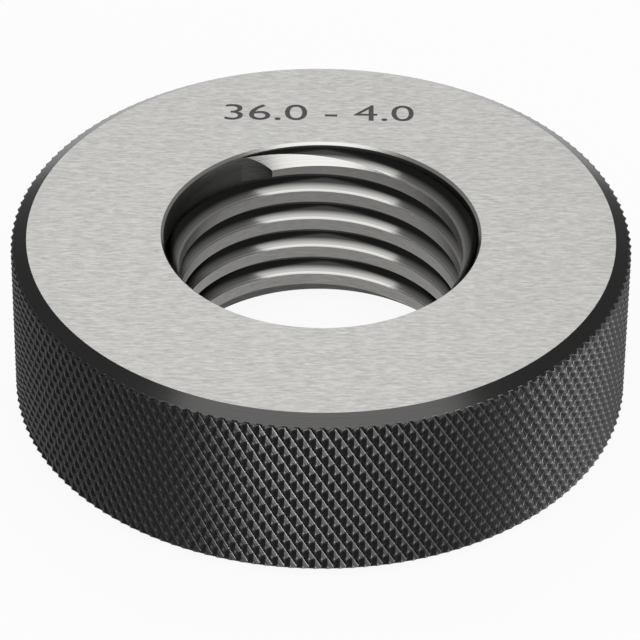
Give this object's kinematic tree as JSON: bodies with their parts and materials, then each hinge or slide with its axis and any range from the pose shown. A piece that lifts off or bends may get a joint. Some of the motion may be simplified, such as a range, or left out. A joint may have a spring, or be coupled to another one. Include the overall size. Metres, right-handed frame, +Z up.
{
  "type": "thread ring gauge",
  "caption": "Knurled steel ring with a right-hand internal thread, screwed over an external thread to check its size.",
  "frame": {"origin": "centre of the lower face, on the thread axis", "axes": "+Z up along the thread axis; -Y towards the picture's viewpoint; +X to its right"},
  "size_m": [0.071, 0.071, 0.0215],
  "materials": {
    "gauge_steel": "hardened gauge steel, ground faces and thread, blackened knurled rim"
  },
  "bodies": {
    "root": {"gauge_ring": "gauge_steel"}
  },
  "joints": []
}
